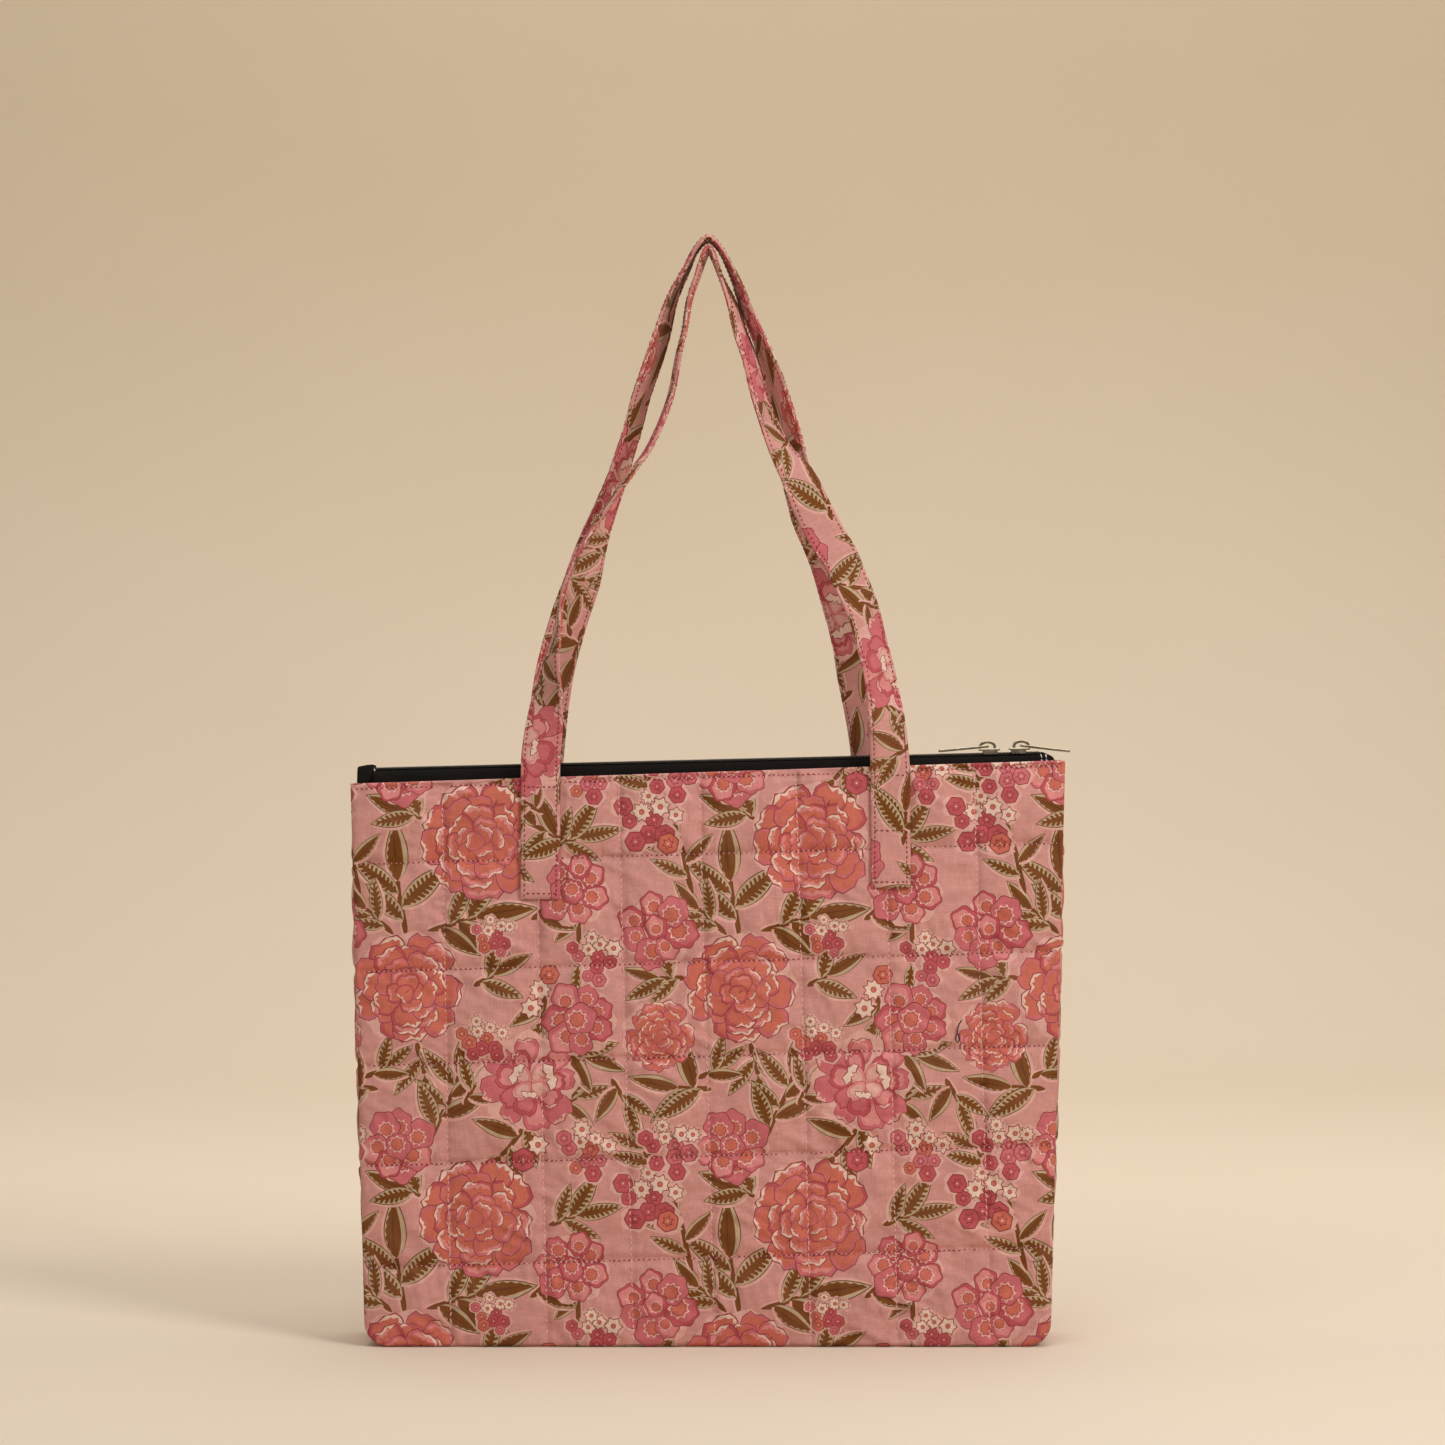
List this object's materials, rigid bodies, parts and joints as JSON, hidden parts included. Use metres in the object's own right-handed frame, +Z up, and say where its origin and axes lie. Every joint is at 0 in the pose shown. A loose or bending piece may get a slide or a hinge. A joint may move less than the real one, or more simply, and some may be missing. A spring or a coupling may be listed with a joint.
{
  "type": "knitting bag",
  "caption": "Upright quilted cotton knitting bag with a zip along its top, head-to-head sliders and shoulder straps drawn up to a point.",
  "frame": {"origin": "centre of the underside of the base, where the bag stands", "axes": "+X along the bag's width, to the right seen from the front; -Y out of the front face; +Z up"},
  "size_m": [0.3937, 0.054, 0.6038],
  "materials": {
    "printed_cotton": "matte plain-weave cotton with a block print",
    "wadding": "soft felted fibre",
    "lining": "plain cotton",
    "binding": "bias-cut cotton",
    "zip_tape": "black woven polyester",
    "zip_nylon": "black nylon coil",
    "slider_metal": "nickel-plated die casting"
  },
  "bodies": {
    "bag": {"front_outer": "printed_cotton", "front_wadding": "wadding", "front_lining": "lining", "back_outer": "printed_cotton", "back_wadding": "wadding", "back_lining": "lining", "left_gusset_outer": "printed_cotton", "left_gusset_wadding": "wadding", "left_gusset_lining": "lining", "right_gusset_outer": "printed_cotton", "right_gusset_wadding": "wadding", "right_gusset_lining": "lining", "base_outer": "printed_cotton", "base_wadding": "wadding", "base_lining": "lining", "front_seam_binding": "binding", "back_seam_binding": "binding", "zip_tape_front": "zip_tape", "zip_tape_back": "zip_tape", "zip_coil_front": "zip_nylon", "zip_coil_back": "zip_nylon", "zip_tail_left": "zip_tape", "zip_tail_right": "zip_tape", "front_strap_end_left": "printed_cotton", "front_strap_end_right": "printed_cotton", "back_strap_end_left": "printed_cotton", "back_strap_end_right": "printed_cotton"},
    "left_slider": {"left_slider_body": "slider_metal", "left_slider_crown": "slider_metal"},
    "right_slider": {"right_slider_body": "slider_metal", "right_slider_crown": "slider_metal"},
    "left_pull": {"left_slider_pull": "slider_metal"},
    "right_pull": {"right_slider_pull": "slider_metal"},
    "front_strap": {"front_strap_loop": "printed_cotton"},
    "back_strap": {"back_strap_loop": "printed_cotton"}
  },
  "joints": [
    {"name": "left_slider_travel", "type": "slide", "parent": "bag", "child": "left_slider", "axis": [0.9997, 0, 0.0243], "range_m": [-0.326, 0]},
    {"name": "right_slider_travel", "type": "slide", "parent": "bag", "child": "right_slider", "axis": [0.9997, 0, 0.0243], "range_m": [0, 0.005]},
    {"name": "left_pull_swing", "type": "hinge", "parent": "left_slider", "child": "left_pull", "pos_m": [0.15333, 0, 0.32483], "axis": [0, 1, 0], "range_deg": [0, 110]},
    {"name": "right_pull_swing", "type": "hinge", "parent": "right_slider", "child": "right_pull", "pos_m": [0.17182, 0, 0.32528], "axis": [0, -1, 0], "range_deg": [0, 110]},
    {"name": "front_strap_swing", "type": "hinge", "parent": "bag", "child": "front_strap", "pos_m": [0, -0.017, 0.307], "axis": [0.9995, 0, 0.0328], "range_deg": [0, 165]},
    {"name": "back_strap_swing", "type": "hinge", "parent": "bag", "child": "back_strap", "pos_m": [0, 0.017, 0.307], "axis": [-0.9995, 0, -0.0328], "range_deg": [0, 165]}
  ]
}
